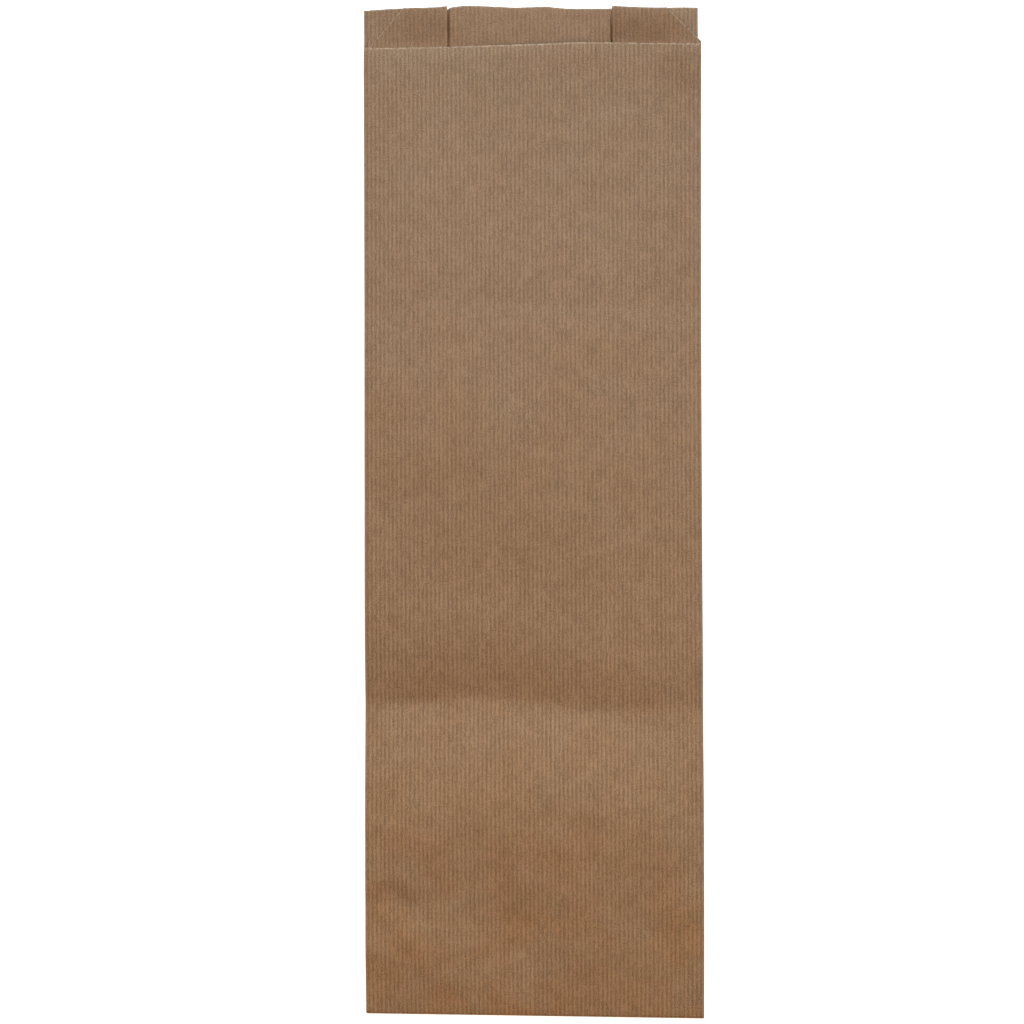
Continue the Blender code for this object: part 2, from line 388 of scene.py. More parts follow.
# %% The two lines as meshes with attributes
def line(name, x, y, z, **attributes):
    """A chain of vertices. Each attribute holds one number or vector for each vertex."""
    chain = bpy.data.meshes.new(name)
    points = np.stack([np.broadcast_to(value, len(attributes["web"])) for value in (x, y, z)], axis=1)
    chain.from_pydata(points.tolist(), [(k, k + 1) for k in range(len(points) - 1)], [])
    for key, values in attributes.items():
        attribute = chain.attributes.new(key, "FLOAT", "POINT")
        attribute.data.foreach_set("value", np.asarray(values, dtype=np.float32))
    obj = bpy.data.objects.new(name, chain)
    bpy.context.scene.collection.objects.link(obj)
    return obj


section = line(
    "section", column_x, 0.0, 0.0,
    web=column_web, share=column_share, height=column_height, crown=column_crown, drop=column_drop,
)
profile = line(
    "profile", 0.0, row_y, row_z,
    web=row_along, up_y=row_up_y, up_z=row_up_z, lift=row_lift, crown=row_crown, mouth=row_mouth,
)


# %% The tree that multiplies them
def folding_tree():
    """Takes each grid point to: profile point + up * (lift * share + height + crown * crown share)."""
    tree = bpy.data.node_groups.new("folded_sheet", "GeometryNodeTree")
    sockets = (
        ("Section", "Geometry"), ("Profile", "Object"), ("Columns", "Int"), ("Rows", "Int"),
        ("Paper", "Material"),
    )
    for name, kind in sockets:
        tree.interface.new_socket(name, in_out="INPUT", socket_type=f"NodeSocket{kind}")
    tree.interface.new_socket("Sheet", in_out="OUTPUT", socket_type="NodeSocketGeometry")
    inputs = add_node(tree, "NodeGroupInput").outputs
    along = add_node(tree, "GeometryNodeObjectInfo", {"Object": inputs["Profile"]}).outputs["Geometry"]
    index = add_node(tree, "GeometryNodeInputIndex").outputs[0]

    def whole(operation, a, b):
        return add_node(tree, "FunctionNodeIntegerMath", {0: a, 1: b}, operation=operation).outputs[0]

    def maths(operation, a, b):
        return add_node(tree, "ShaderNodeMath", {0: a, 1: b}, operation=operation).outputs[0]

    column = whole("DIVIDE_FLOOR", index, inputs["Rows"])
    row = whole("MODULO", index, inputs["Rows"])

    def sample(geometry, at, name):
        value = add_node(tree, "GeometryNodeInputNamedAttribute", {"Name": name}, data_type="FLOAT")
        taken = {"Geometry": geometry, "Value": value.outputs[0], "Index": at}
        return add_node(tree, "GeometryNodeSampleIndex", taken, data_type="FLOAT").outputs[0]

    def place(geometry, at):
        position = add_node(tree, "GeometryNodeInputPosition").outputs[0]
        taken = {"Geometry": geometry, "Value": position, "Index": at}
        sampled = add_node(tree, "GeometryNodeSampleIndex", taken, data_type="FLOAT_VECTOR").outputs[0]
        return add_node(tree, "ShaderNodeSeparateXYZ", {0: sampled}).outputs

    across = place(inputs["Section"], column)
    base = place(along, row)
    lifted = maths("MULTIPLY", sample(along, row, "lift"), sample(inputs["Section"], column, "share"))
    crowned = maths("MULTIPLY", sample(along, row, "crown"), sample(inputs["Section"], column, "crown"))
    height = maths("ADD", maths("ADD", lifted, crowned), sample(inputs["Section"], column, "height"))
    cut = maths("MULTIPLY", sample(along, row, "mouth"), sample(inputs["Section"], column, "drop"))
    y = maths("ADD", maths("ADD", base[1], cut), maths("MULTIPLY", height, sample(along, row, "up_y")))
    z = maths("ADD", base[2], maths("MULTIPLY", height, sample(along, row, "up_z")))
    folded = add_node(tree, "ShaderNodeCombineXYZ", {0: across[0], 1: y, 2: z}).outputs[0]

    counts = {"Vertices X": inputs["Columns"], "Vertices Y": inputs["Rows"]}
    grid = add_node(tree, "GeometryNodeMeshGrid", counts)
    flat_y = maths("ADD", sample(along, row, "web"), cut)
    flat_place = {0: sample(inputs["Section"], column, "web"), 1: flat_y}
    flat_point = {0: add_node(tree, "ShaderNodeCombineXYZ", flat_place).outputs[0]}
    flat = add_node(tree, "GeometryNodeFieldOnDomain", flat_point, data_type="FLOAT_VECTOR", domain="POINT")
    stored = {"Geometry": grid.outputs["Mesh"], "Name": "web", "Value": flat.outputs[0]}
    unrolled = add_node(tree, "GeometryNodeStoreNamedAttribute", stored, data_type="FLOAT2", domain="CORNER")
    moved = add_node(tree, "GeometryNodeSetPosition", {"Geometry": unrolled.outputs[0], "Position": folded})
    smoothed = add_node(tree, "GeometryNodeSetShadeSmooth", {"Geometry": moved.outputs[0]})
    real = add_node(tree, "GeometryNodeRealizeInstances", {"Geometry": smoothed.outputs[0]})
    made_of = {"Geometry": real.outputs[0], "Material": inputs["Paper"]}
    paper = add_node(tree, "GeometryNodeSetMaterial", made_of)
    add_node(tree, "NodeGroupOutput", {"Sheet": paper.outputs[0]})
    return tree


# %% [markdown]
# ## The paper
#
# Kraft paper is made from unbleached pine pulp, so it is brown all through. This one is ribbed: a grooved
# roll presses fine lines into it in the direction that it runs through the machine, and they catch the
# light as stripes 1.5 mm apart. Between them the pulp is cloudy, with long fibres and a few dark specks. It
# is matt, with a faint gloss on the outer side, where the hot cylinder pressed it. Towards the bottom of
# the bag the pattern is a little stronger, and the brown is patchy, here more orange and there more grey. A
# cut edge shows torn fibres, which are paler than the face, and the pale band along each cut is also a
# painted highlight, where the edge would catch the light.
#
# The pattern has to follow the sheet round its folds, so it reads the sheet's own UV map, which is the flat
# web in metres. It is turned into millimetres first, so that every scale below is one over a real size.

# %% Sizes of the paper's patterns, in millimetres
RIB_PITCH = 1.51
RIB_WOBBLE = 0.6
RIB_STRETCH = 0.04  # the ribs wander this much more slowly along the web than across it
BREAK_WIDTH = 1.6  # a rib is pressed deeper in some places than in others, over about this width
BREAK_STRETCH = 0.4
BREAK_DEPTHS = (0.5, 1.5)  # the least and the most, as a share of the usual depth
FIBRE_STRETCH = 0.2
STREAK_WIDTH = 0.8
CLOUD_SIZE = 6.0
BLOT_SIZE = 1.6
SPECK_SIZE = 0.55
GRAIN_SIZE = 0.42
TINT_SIZE = 20.0  # patches that are more orange or more grey
EDGE_FIBRES_AND_HIGHLIGHT = 0.7  # how far in from a cut the paler fibres and the painted highlight reach
TUFT_SIZE = 0.7
print(f"ribs: one every {RIB_PITCH} mm, {BAG_WIDTH / MM / RIB_PITCH:.0f} across the front")

# %% How strongly the patterns show
STREAK_WEIGHT = 0.6  # these four are shares of the step from the deep brown to the pale one
CLOUD_WEIGHT = 0.5
BLOT_WEIGHT = 0.5
GRAIN_WEIGHT = 1.9
SPECK_LEVELS = (0.72, 0.80)  # a dark speck starts where the noise passes the first, and is full at the second
SPECK_DEPTH = 0.6
LOW_PATTERN = 1.2  # near the bottom the whole pattern is this much stronger
PATTERN_FADE = (130.0, 225.0)  # between these places up the web it fades to its usual strength
TINT_FADE = (30.0, 120.0)  # and between these places the patches of tint fade
MOTTLE_HIGH = 0.3  # to this share
RIB_DEPTH = 0.03 * MM
STREAK_RELIEF = 0.5  # these two are shares of the ribs' depth
GRAIN_RELIEF = 0.7
BUMP_STRENGTH = 0.5
KRAFT_IOR = 1.47  # cellulose
BREAK_LEVELS = (0.3, 0.7)  # the noise's range that is spread over what it drives, here and below
TINT_LEVELS = (0.35, 0.65)
TUFT_LEVELS = (0.42, 0.58)
LEAST_TUFT = 0.1  # between its tufts a cut edge still shows this share of torn fibre and painted highlight
print(f"pattern: {LOW_PATTERN} times as strong below {PATTERN_FADE[0]:g} mm as above {PATTERN_FADE[1]:g} mm")


def kraft(name, pale, deep, rib_contrast, roughness):
    """One face of the paper: a pale and a deep brown, mixed by the ribs and by the marks of the pulp."""
    material = bpy.data.materials.new(name)
    material.use_nodes = True
    tree = material.node_tree
    shader = tree.nodes["Principled BSDF"]

    def maths(operation, *values):
        return add_node(tree, "ShaderNodeMath", dict(enumerate(values)), operation=operation).outputs[0]

    def mottle(vector, size, detail=2.0):
        inputs = {"Vector": vector, "Scale": 1 / size, "Detail": detail}
        return add_node(tree, "ShaderNodeTexNoise", inputs, noise_dimensions="2D").outputs["Fac"]

    def spread(value, low, high, to_low=0.0, to_high=1.0):
        inputs = {0: value, 1: low, 2: high, 3: to_low, 4: to_high}
        return add_node(tree, "ShaderNodeMapRange", inputs).outputs[0]

    def millimetres(stretch=1.0, shift=(0.0, 0.0)):
        mapping = {"Vector": web, "Scale": (1000, 1000 * stretch, 1000), "Location": (*shift, 0.0)}
        return add_node(tree, "ShaderNodeMapping", mapping).outputs[0]

    web = add_node(tree, "ShaderNodeUVMap", uv_map="web").outputs[0]
    flat = millimetres()
    long = millimetres(FIBRE_STRETCH)
    wave = {"Vector": millimetres(RIB_STRETCH), "Scale": math.pi / (10 * RIB_PITCH)}
    wave.update({"Distortion": RIB_WOBBLE, "Detail": 2.0, "Detail Scale": 2.0})
    ribs = add_node(tree, "ShaderNodeTexWave", wave, wave_type="BANDS", bands_direction="X").outputs["Fac"]
    depth = spread(mottle(millimetres(BREAK_STRETCH), BREAK_WIDTH), *BREAK_LEVELS, *BREAK_DEPTHS)
    ribs = maths("MULTIPLY", maths("SUBTRACT", ribs, 0.5), depth)
    streaks = maths("SUBTRACT", mottle(long, STREAK_WIDTH, 3.0), 0.5)
    clouds = maths("SUBTRACT", mottle(flat, CLOUD_SIZE, 4.0), 0.5)
    blots = maths("SUBTRACT", mottle(flat, BLOT_SIZE, 3.0), 0.5)
    grain = maths("SUBTRACT", mottle(flat, GRAIN_SIZE, 1.0), 0.5)
    tone = maths("MULTIPLY_ADD", ribs, rib_contrast, 0.5)
    weights = ((streaks, STREAK_WEIGHT), (clouds, CLOUD_WEIGHT), (blots, BLOT_WEIGHT), (grain, GRAIN_WEIGHT))
    for pattern, weight in weights:
        tone = maths("ADD", tone, maths("MULTIPLY", pattern, weight))
    specks = spread(mottle(flat, SPECK_SIZE, 1.0), *SPECK_LEVELS, 0.0, SPECK_DEPTH)
    tone = maths("SUBTRACT", tone, specks)
    up_web = add_node(tree, "ShaderNodeSeparateXYZ", {0: flat}).outputs["Y"]
    strength = spread(up_web, *PATTERN_FADE, LOW_PATTERN, 1.0)
    tone = maths("MULTIPLY_ADD", maths("SUBTRACT", tone, 0.5), strength, 0.5)

    def mix(share, a, b, **settings):
        node = add_node(tree, "ShaderNodeMix", {"Factor": share}, data_type="RGBA", **settings)
        for socket, colour in ((6, a), (7, b)):
            if isinstance(colour, bpy.types.NodeSocket):
                tree.links.new(colour, node.inputs[socket])
            else:
                node.inputs[socket].default_value = colour
        return node.outputs[2]

    brown = mix(tone, srgb(deep), srgb(pale))
    patches = mottle(millimetres(shift=TINT_SHIFT), TINT_SIZE, 3.0)
    tint = mix(spread(patches, *TINT_LEVELS), srgb(GREY_TINT), srgb(ORANGE_TINT))
    brown = mix(spread(up_web, *TINT_FADE, 1.0, MOTTLE_HIGH), brown, tint, blend_type="MULTIPLY")
    # Paler along each cut: torn fibres, together with a painted highlight where the edge catches the light.
    from_cut = add_node(tree, "ShaderNodeAttribute", attribute_name="from_cut").outputs["Fac"]
    patchy = spread(mottle(flat, TUFT_SIZE, 1.0), *TUFT_LEVELS, LEAST_TUFT, 1.0)
    torn_and_highlight = maths("MULTIPLY", spread(from_cut, 0.0, EDGE_FIBRES_AND_HIGHLIGHT, 1.0, 0.0), patchy)
    tree.links.new(mix(torn_and_highlight, brown, srgb(TORN_FIBRE_AND_HIGHLIGHT)), shader.inputs["Base Color"])

    relief = maths("ADD", ribs, maths("MULTIPLY", streaks, STREAK_RELIEF))
    relief = maths("ADD", relief, maths("MULTIPLY", grain, GRAIN_RELIEF))
    raised = {"Height": relief, "Strength": BUMP_STRENGTH, "Distance": RIB_DEPTH}
    tree.links.new(add_node(tree, "ShaderNodeBump", raised).outputs[0], shader.inputs["Normal"])
    shader.inputs["Roughness"].default_value = roughness
    shader.inputs["IOR"].default_value = KRAFT_IOR
    return material


# %% The two faces and the cut edge
# The pale of a cut's torn fibres, made lighter so that it also paints in the edge's highlight.
TORN_FIBRE_AND_HIGHLIGHT = "#CFAE8E"
ORANGE_TINT = "#FFF6E8"
GREY_TINT = "#FCFFFF"
TINT_SHIFT = (518.0, 212.0)  # which part of the endless noise the patches come from, in millimetres

outer_face = kraft("ribbed_kraft_outer_face", "#B48C69", "#856446", rib_contrast=0.44, roughness=0.62)
inner_face = kraft("ribbed_kraft_inner_face", "#B28864", "#886546", rib_contrast=0.35, roughness=0.72)
cut_edge = kraft("kraft_cut_edge", "#B4906E", "#95714F", rib_contrast=0.0, roughness=0.8)
for paper in (outer_face, inner_face, cut_edge):
    print(f"{paper.name}: {len(paper.node_tree.nodes)} nodes")


# %% Fold the sheet
def fold_sheet():
    """Runs the tree on the section and returns the folded sheet as a plain mesh."""
    tree = folding_tree()
    folding = section.modifiers.new("folding", "NODES")
    folding.node_group = tree
    values = {
        "Profile": profile, "Columns": len(column_x), "Rows": len(row_along), "Paper": outer_face,
    }
    for item in tree.interface.items_tree:
        if item.in_out == "INPUT" and item.name in values:
            folding[item.identifier] = values[item.name]
    bpy.context.view_layer.update()
    evaluated = section.evaluated_get(bpy.context.evaluated_depsgraph_get())
    made = bpy.data.meshes.new_from_object(evaluated)
    for helper in (section, profile):
        chain = helper.data
        bpy.data.objects.remove(helper)
        bpy.data.meshes.remove(chain)
    return made


sheet = fold_sheet()
shape = (len(column_x), len(row_along))
folded = np.empty(len(sheet.vertices) * 3)
sheet.vertices.foreach_get("co", folded)
folded = folded.reshape(*shape, 3)
print(f"sheet: {len(sheet.polygons)} faces, {np.ptp(folded[:, :, 2]) / MM:.2f} mm high before the creases")

# %% [markdown]
# ## The creases
#
# A stack of bags is bent, pressed and handled before one is used, and the paper keeps that. The front has
# one valley crease right across it, a tent-shaped slope above the crease, a fainter crease nearer the
# mouth, and a few dents. A cloth simulation would give soft folds with no history, so these are pressed in
# as given heights over the bag, in millimetres from its middle and from the bottom fold.
#
# The layers must not pass through each other. So a point takes its share of the front's relief and the rest
# of the back's, by how far up it lies between the two. All lengths in these cells are in millimetres.


# %% Shapes that the creases are made of
def bump(away):
    """1 at 0, falling smoothly to 0 at 1 on both sides."""
    return np.clip(1 - away * away, 0, 1) ** 2


def valley(x, along, path, reach):
    """A crease across the bag. The path's stops are (across, along, depth), and the depth ends at 0."""
    across, middle, depth = np.array(path).T
    away = np.abs(along - np.interp(x, across, middle)) / reach
    return -np.interp(x, across, depth) * np.clip(1 - away, 0, 1) ** 1.5


SEED_STEP = 17.3  # seeds are this far apart in the noise, so that no two share a hill


def wander(x, along, width, length, seed):
    """Gentle random hills of about this width and length, between -1 and 1."""
    points = np.stack([x / width, along / length, np.full_like(x, SEED_STEP * seed)], axis=-1).reshape(-1, 3)
    return np.array([noise.noise(point) for point in points]).reshape(x.shape)


def table(x, stops):
    """The value at x of a line through these stops, each a place and a value."""
    places, values = np.array(stops).T
    return np.interp(x, places, values)


def step_down(x, along, edge, length):
    """A smooth fall towards the bottom. Its upper edge's stops are (across, along, drop)."""
    across, start, drop = np.array(edge).T
    return -np.interp(x, across, drop) * smooth((np.interp(x, across, start) - along) / length)


print(f"half way out, a bump still has {float(bump(0.5)):.0%} of its height")

# %% The main crease
# Each row: across, along, drop from the mouth side, rise to the bottom side, the drop's reach and sharpness
CREASE = (
    (-60.0, 111.4, 2.3, 2.1, 34.0, 2.0),
    (-45.0, 112.0, 3.1, 2.8, 34.0, 2.0),
    (-33.0, 112.5, 2.95, 2.85, 33.0, 2.0),
    (-25.0, 114.6, 2.5, 2.8, 32.0, 2.0),
    (-12.0, 113.3, 2.3, 2.8, 32.0, 2.0),
    (4.0, 111.5, 2.0, 2.7, 30.0, 1.9),
    (14.0, 110.2, 1.2, 2.5, 24.0, 1.6),
    (26.0, 109.0, 1.4, 2.4, 18.0, 1.3),
    (38.0, 108.8, 1.3, 2.35, 17.0, 1.25),
    (52.0, 109.4, 0.9, 1.95, 17.0, 1.2),
    (60.0, 110.4, 0.8, 1.6, 17.0, 1.3),
)
CREST = ((-60, 64.0), (-10, 71.0), (12, 73.0), (35, 64.0), (60, 61.0))  # where the rise ends: across, along
SLOW_REACH = 90.0  # where the rise is more than the drop, the front comes down to level over this length
FILL = ((-35, 0.0), (-28, 0.15), (10, 0.15), (20, 0.0))  # the crease's bottom is rounded out: across, height
FILL_REACH = 5.0
RIGHT_EASE = 25.0  # the front's right side comes in over this width
STAY_FROM = 12.0  # right of here the front stays low past the crease
STAY = 0.75  # by this share
SAG_FROM = 15.0  # and right of here it sags a little on its way to the mouth
RIGHT_SAG = ((125, 0.0), (160, 0.4), (195, 0.75), (240, 0.75), (300, 0.4), (345, 0.1))  # along, depth


def crease_relief(x, along):
    """The valley right across the bag, and the front's slow fall or rise on its mouth side."""
    across, path, drop, rise, reach, power = (np.array(column) for column in zip(*CREASE))
    middle, drop, rise = (np.interp(x, across, column) for column in (path, drop, rise))
    beyond = np.maximum(along - middle, 0)
    steep = np.clip(1 - beyond / np.interp(x, across, reach), 0, 1) ** np.interp(x, across, power)
    slow = np.clip(1 - beyond / SLOW_REACH, 0, 1) ** 2
    slow = slow + STAY * smooth((x - STAY_FROM) / RIGHT_EASE) * (1 - slow)
    short = np.clip((middle - along) / (middle - table(x, CREST)), 0, 1)
    mouth_side = drop * steep + (rise - drop) * slow
    bottom_side = rise * (1 - np.sin(np.pi / 2 * short))
    filled = table(x, FILL) * bump((along - middle) / FILL_REACH)
    sagged = table(along, RIGHT_SAG) * smooth((x - SAG_FROM) / RIGHT_EASE)
    return filled - sagged - np.where(along > middle, mouth_side, bottom_side)


bag_middle = np.zeros(300)
depths = crease_relief(bag_middle, np.arange(300.0))
print(f"crease: {-depths.min():.2f} mm deep in the middle, {depths.argmin()} mm from the bottom fold")

# %% The slope above it
TENT_STEPS = (  # length of the step, then its upper edge: across, along, drop
    (24.0, (-60, 201, 0.1), (-37, 201, 0.4), (4, 223, 0.45), (32, 227, 0.4), (60, 232, 0.1)),
    (36.0, (-60, 186, 0.0), (-35, 186, 0.4), (-5, 186, 0.4), (20, 180, 0.1), (60, 175, 0.0)),
)
TENT_SIDE = ((128, 40.0), (195, -2.0), (215, -14.0))  # the dip's right side: along, across
TENT_SIDE_WIDTH = 20.0
TENT_DIP = 0.2
DIP_ENDS = (60.0, 200.0)  # along
DIP_EASE = 60.0


def tent_relief(x, along):
    """Two steps down towards the crease, and a shallow dip beside them."""
    relief = np.zeros_like(x)
    for length, *edge in TENT_STEPS:
        relief = relief + step_down(x, along, edge, length)
    left_of_side = smooth(0.5 + (table(along, TENT_SIDE) - x) / TENT_SIDE_WIDTH)
    start, end = DIP_ENDS
    dip = smooth((end - along) / DIP_EASE) * smooth((along - start) / DIP_EASE)
    return relief - TENT_DIP * left_of_side * dip


depths = tent_relief(bag_middle, np.arange(300.0))
print(f"slope: it falls {-depths.min():.2f} mm towards the crease in the middle")

# %% Smaller creases, dents and waves
FAINT_CREASE = ((-52, 252.5, 0.0), (-30, 253.5, 0.22), (10, 254.5, 0.25), (40, 255, 0.22), (60, 254.5, 0.1))
FAINT_REACH = 13.0
WRINKLES = (  # path, reach
    (((-60, 40.5, 0.25), (-42, 40.0, 0.3), (-28, 41.5, 0.2), (-20, 44, 0.0)), 7.0),
    (((-50, 55, 0.0), (-40, 54.0, 0.2), (-33, 57, 0.15), (-24, 60, 0.0)), 7.0),
    (((-10, 38, 0.0), (-3, 40.5, 0.08), (8, 43.5, 0.08), (14, 45, 0.0)), 5.0),
    (((-60, 186, 0.12), (-54, 180, 0.15), (-48, 176, 0.0)), 4.0),
    (((-60, 163, 0.12), (-55, 168, 0.15), (-50, 174, 0.0)), 4.0),
)
LOW_STEP = ((-30, 68, 0.0), (-17, 75, 0.8), (2, 77, 0.8), (14, 70, 0.1), (36, 42, 0.2), (60, 38, 0.3))
LOW_STEP_LENGTH = 22.0  # a short fall under the low crest
DENTS = (  # across, along, half width, half length, height, which is below 0 for a hollow
    (-2.0, 43.0, 22.0, 13.0, 0.4),
    (-12.0, 17.0, 10.0, 11.0, 0.25),
    (-22.0, 8.0, 18.0, 14.0, 0.5),
    (-45.0, 28.0, 14.0, 9.0, 0.25),
    (-40.0, 41.0, 12.0, 8.0, 0.15),
    (51.0, 42.0, 13.0, 14.0, 0.6),
    (-12.0, 38.0, 18.0, 26.0, -0.4),
    (4.0, 48.0, 12.0, 18.0, -0.25),
    (17.0, 76.0, 8.0, 9.0, 0.2),
    (53.0, 61.0, 13.0, 18.0, 0.35),
    (-60.0, 165.0, 12.0, 28.0, 0.35),
)
WAVES = ((26.0, 34.0, 0.22), (9.0, 11.0, 0.06), (3.6, 4.5, 0.018))  # width, length, height
WORN = 2.5  # the bottom end was handled most, so the waves gain this many times their height there
WORN_TO = 95.0  # along
WORN_FADE = 35.0
WORN_LEFT = 1.5  # and this many times more at its left
LEFT_FROM = -10.0
LEFT_EASE = 20.0


def front_relief(x, along):
    """All that was pressed into the front."""
    relief = crease_relief(x, along) + tent_relief(x, along) + valley(x, along, FAINT_CREASE, FAINT_REACH)
    for path, reach in WRINKLES:
        relief = relief + valley(x, along, path, reach)
    relief = relief + step_down(x, along, LOW_STEP, LOW_STEP_LENGTH)
    for across, middle, half_width, half_length, height in DENTS:
        away = np.hypot((x - across) / half_width, (along - middle) / half_length)
        relief = relief + height * bump(away)
    at_left = smooth((LEFT_FROM - x) / LEFT_EASE)
    worn = 1 + (WORN + WORN_LEFT * at_left) * smooth((WORN_TO - along) / WORN_FADE)
    for seed, (width, length, height) in enumerate(WAVES):
        relief = relief + height * worn * wander(x, along, width, length, seed)
    return relief + mouth_relief(x, along)


print(f"front: {len(WRINKLES)} wrinkles, {len(DENTS)} dents and hollows, {len(WAVES)} sizes of wave")

# %% [markdown]
# ## The mouth
#
# At the mouth nothing holds the layers down. The front is arched, its right corner lifts, and its last few
# millimetres bend down. Past the front's cut edge both gussets flare, their inner folds have come a little
# open, and the back panel stands up in a wave between them. The cuts are not straight lines either: the
# paper moved under the blade, so their edges wander by about a millimetre. Heights and shifts over the
# folded sheet do all this, as for the creases.

# %% The front and the gussets at the mouth
LIP_ALONG = (WEB_LENGTH - LIP_DROP) / MM
MOUTH_ALONG = WEB_LENGTH / MM
ARCH_REACH = 110.0  # the front starts to arch this far from its cut edge
ARCHES = ((18.0, 38.0, 0.5), (-33.0, 25.0, -0.7))  # across, half width, height
RIGHT_LIFT = (40.0, 16.0, 0.9)  # from this far across, over this width, by this height
LIP_LIFT = (30.0, 0.25)  # over this length, by this height
CORNER_LIFT = (40.0, 14.0, 18.0, 0.6)  # from this far across, over this width and length, by this height
CURL_REACH = 4.0
CURL = 0.2
FLARES = ((-36.0, 34.0, 1.4), (36.0, 34.0, 1.8))  # across, half width, height
FLARE_LENGTH = 16.0


def mouth_relief(x, along):
    """How the front's end stands, and past its cut edge the gussets' ends."""
    from_lip = LIP_ALONG - along
    start, width, height = RIGHT_LIFT
    arched = sum(up * bump((x - across) / half) for across, half, up in ARCHES)
    arching = (arched + height * smooth((x - start) / width)) * np.clip(1 - from_lip / ARCH_REACH, 0, 1) ** 2
    length, height = LIP_LIFT
    rising = height * smooth(1 - from_lip / length)
    start, width, length, height = CORNER_LIFT
    corner = height * smooth((x - start) / width) * smooth(1 - from_lip / length)
    curl = -CURL * np.clip(1 - from_lip / CURL_REACH, 0, 1) ** 2
    past_lip = smooth((along - (MOUTH_ALONG - FLARE_LENGTH)) / FLARE_LENGTH)
    flare = past_lip * sum(up * bump((x - across) / half) for across, half, up in FLARES)
    return arching + rising + corner + curl + flare


print(f"mouth: the front ends {MOUTH_ALONG - LIP_ALONG:.1f} mm before the back")

# %% The back at the mouth
# The back panel stands up between the gussets and dips sharply under their folds: across, height
BACK_WAVE = (
    (-60.0, 0.0), (-31.0, 0.0), (-30.4, 0.1), (-30.0, 0.3), (-29.7, 0.9), (-29.4, 1.5), (-28.9, 1.9),
    (-24.0, 2.2), (-12.0, 1.9), (0.0, 1.3), (5.0, 1.4), (12.0, 0.9), (20.0, 0.9), (26.0, 1.5), (27.8, 1.7),
    (28.7, 1.3), (29.1, 0.8), (29.4, 0.3), (29.8, 0.1), (31.0, 0.0), (60.0, 0.0),
)
BACK_WAVE_REACH = 45.0
BACK_LIFT = 0.12  # the rest of the back does not lie quite flat on the table
BACK_LIFT_HALF = 58.0
BACK_HILLS = (24.0, 30.0, 5)  # width, length, seed


def back_relief(x, along):
    """How high the back panel stands over the table."""
    wave = table(x, BACK_WAVE) * smooth(1 - (MOUTH_ALONG - along) / BACK_WAVE_REACH)
    lift = BACK_LIFT * (1 + wander(x, along, *BACK_HILLS)) * bump(x / BACK_LIFT_HALF)
    return wave + lift


print(f"back: its wave at the mouth is {max(height for _, height in BACK_WAVE)} mm high")

# %% How the folded sheet is out of true
HALF = 60.0  # half the bag's width, in millimetres as the rest of this cell
SPREAD = 0.7  # the pressed bottom end is wider than the rest by this much at each side
SPREAD_SHIFT = 0.2
SPREAD_REACH = 260.0
SKEW = 0.42  # and it was turned up a little out of square
SKEW_REACH = 150.0
INSET = 1.1  # at the mouth the right side's lower layers lie this far in
INSET_EASE = 29.0
MOUTH_REACH = 80.0
UNEVEN_CUT = (  # across, how much further out the back and the gussets are cut
    (-60, 0.35), (-47, 0.35), (-37, 0.2), (-31, 0.25), (-28, 0.9), (-24, 1.25), (-18, 1.1), (-6, 0.45),
    (0, 0.65), (4.5, 0.9), (9, 0.4), (13, 0.1), (20, 0.0), (28, -0.3), (30, 0.3), (36, 0.0), (47, -0.4),
    (55, -0.1), (60, 0.1),
)
FRONT_CUT = (  # the same for the front
    (-60, 0.0), (-40, 0.05), (-12, 0.35), (3, 0.55), (17, 0.95), (31, 0.95), (45, 0.7), (57, 0.3), (60, 0.1),
)
SLIP = 0.65  # the left gusset has slipped this far out of the mouth at its inner fold
FOLD_OPENING = 0.75  # the gussets' inner folds are not pressed at the mouth: their lower halves hang this low
FOLD_BULGE = 0.3  # and their folds are this much rounder
OPENING_REACH = 60.0
FOLD_SHIFT = (  # across, how far the gussets' upper layers have moved to the right there
    (-60, 0.0), (-42, -0.4), (-29, -0.5), (0, 0.0), (29, -1.2), (45, -0.8), (60, 0.0),
)
STILL_END = 24.0  # next to the glued bottom fold the reliefs fade out over this length


# %% Press it all into the sheet
def opened(outward):
    """How far each section point of one gusset's lower half hangs down, and how far its fold bulges."""
    inner = SIDE - GUSSET_DEPTH + FOLD_RADIUS
    on_side = np.sign(column_x) == outward
    under = on_side & (column_share > 0) & (column_share < FOLD_SHARE)
    hang = np.where(under, np.clip((PANEL_END - np.abs(column_x)) / (PANEL_END - inner), 0, 1) ** 2, 0.0)
    turned = on_side & (column_share == FOLD_SHARE) & (np.abs(column_x) <= inner + 1e-9)
    height = column_height + PRESSED * column_share - PITCH
    hang = np.where(turned, 1 - np.clip(height / PITCH, 0, 1), hang)
    bulge = np.where(turned, np.sqrt(np.clip(1 - (2 * height / PITCH - 1) ** 2, 0, 1)), 0.0)
    return hang, -outward * bulge


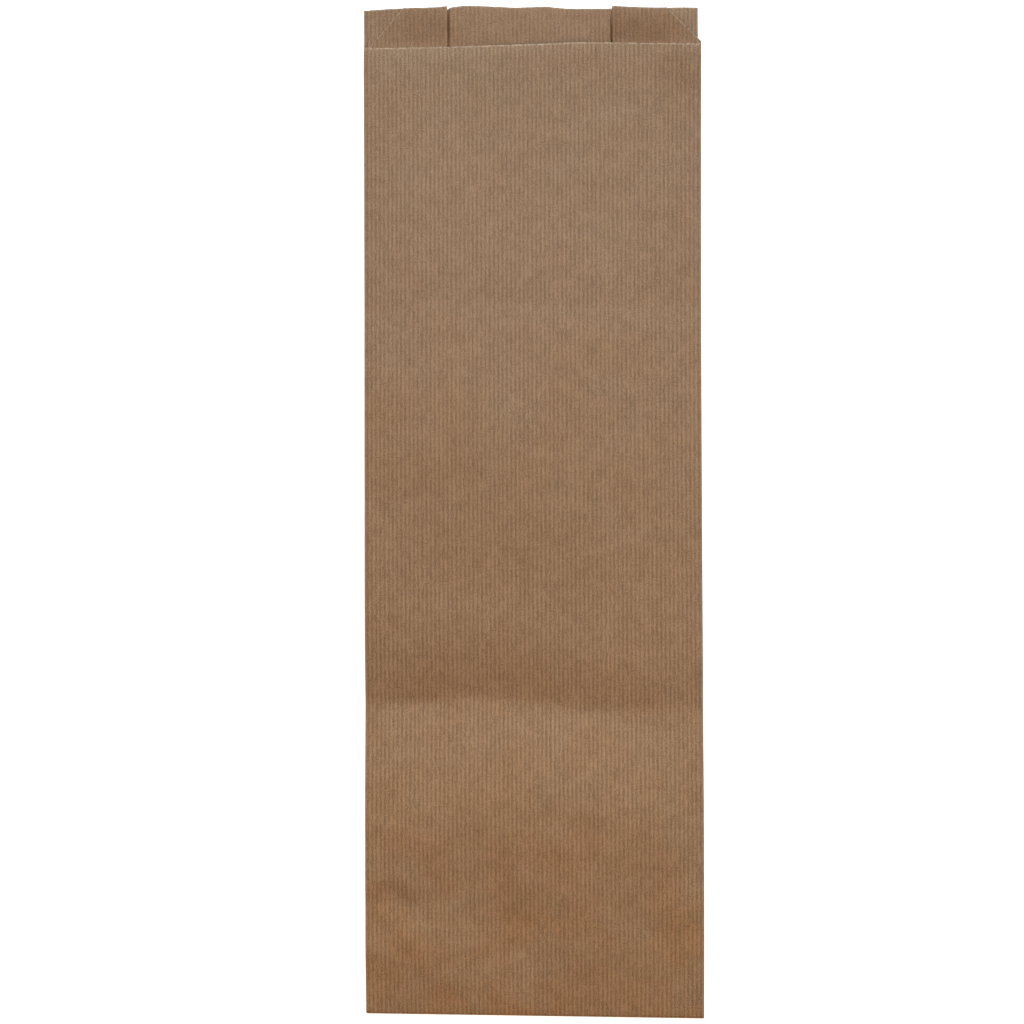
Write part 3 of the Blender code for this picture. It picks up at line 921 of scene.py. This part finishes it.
def press(points):
    """Moves the folded points. The turned-up strip keeps its height."""
    main = row_up_z == 1
    level = column_share[:, None]
    is_gusset = ((column_share > 0) & (column_share < 1))[:, None]
    is_front = (column_share == 1)[:, None]
    across, along = points[:, :, 0] / MM, (points[:, :, 1] - BOTTOM_FOLD_Y) / MM
    from_mouth = MOUTH_ALONG - along
    near_mouth = smooth(1 - from_mouth / MOUTH_REACH)
    loose = smooth(1 - from_mouth / OPENING_REACH)
    hang, bulge = (sum(parts)[:, None] for parts in zip(opened(-1), opened(1)))

    wider = (SPREAD * across / HALF + SPREAD_SHIFT) * smooth(1 - along / SPREAD_REACH)
    inset = -INSET * (1 - level) * main * smooth(across / INSET_EASE) * near_mouth
    slid = table(across, FOLD_SHIFT) * is_gusset * level * near_mouth
    points[:, :, 0] += (wider + inset + slid + FOLD_BULGE * bulge * loose) * MM

    points[:, :, 1] -= SKEW * across / HALF * smooth(1 - along / SKEW_REACH) * MM
    inward = np.clip((HALF - np.abs(across)) / (GUSSET_DEPTH / MM), 0, 1)
    uneven = np.where(is_front, table(across, FRONT_CUT), table(across, UNEVEN_CUT))
    uneven += SLIP * inward * is_gusset * (across < 0)
    points[:, :, 1] += uneven * row_mouth * MM

    rise = level * front_relief(across, along) + (1 - level) * back_relief(across, along)
    points[:, :, 2] += (rise - FOLD_OPENING * hang * loose) * smooth(along / STILL_END) * main * MM
    return points


pressed = press(folded.copy())
sheet.vertices.foreach_set("co", pressed.ravel())
# Each point's distance from its cut, which the paper's colour uses for its torn fibres and painted highlight.
from_cut = (pressed[:, -1:, 1] - pressed[:, :, 1]) / MM
distances = sheet.attributes.new("from_cut", "FLOAT", "POINT")
distances.data.foreach_set("value", from_cut.ravel().astype(np.float32))
sheet.materials.append(inner_face)
sheet.materials.append(cut_edge)
print(f"pressed: {np.ptp(pressed[:, :, 2]) / MM:.2f} mm high")

# %% [markdown]
# ## The thickness
#
# The paper is a tenth of a millimetre thick, which the eye sees only as a pale line along each cut. The
# paper's colour widens that line with torn fibres and a painted highlight.
# Solidify gives it that wall, half on each side of the folded sheet, and hands the inner side and the rim
# their own materials. It comes last, because every fold and crease above is easier to think of as a sheet
# with no thickness.


# %% Give the paper its thickness
SHARP_ANGLE = 50  # degrees: only the rim's edges are sharper


def plain_mesh(obj, name):
    """The object's mesh as its modifiers leave it, in place of its own."""
    made = bpy.data.meshes.new_from_object(obj.evaluated_get(bpy.context.evaluated_depsgraph_get()))
    made.name = name
    old = obj.data
    obj.modifiers.clear()
    obj.data = made
    bpy.data.meshes.remove(old)


bag = bpy.data.objects.new("folded_kraft_sheet", sheet)
bpy.context.scene.collection.objects.link(bag)
highest_face = max(sheet.polygons, key=lambda face: face.center.z)
if highest_face.normal.z < 0:
    sheet.flip_normals()
wall = bag.modifiers.new("paper", "SOLIDIFY")
wall.thickness = PAPER
wall.offset = 0.0
wall.use_even_offset = True
wall.material_offset = 1
wall.material_offset_rim = 2
bpy.context.view_layer.update()
plain_mesh(bag, "folded_kraft_sheet")
bag.data.set_sharp_from_angle(angle=math.radians(SHARP_ANGLE))
triangles = sum(len(face.vertices) - 2 for face in bag.data.polygons)
print(f"paper: {triangles} triangles")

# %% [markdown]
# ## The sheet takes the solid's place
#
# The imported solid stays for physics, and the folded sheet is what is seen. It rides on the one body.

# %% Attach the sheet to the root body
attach(bag, "root")
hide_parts("paper_bag")
print(f"{bag.name} rides on root and stands for paper_bag")
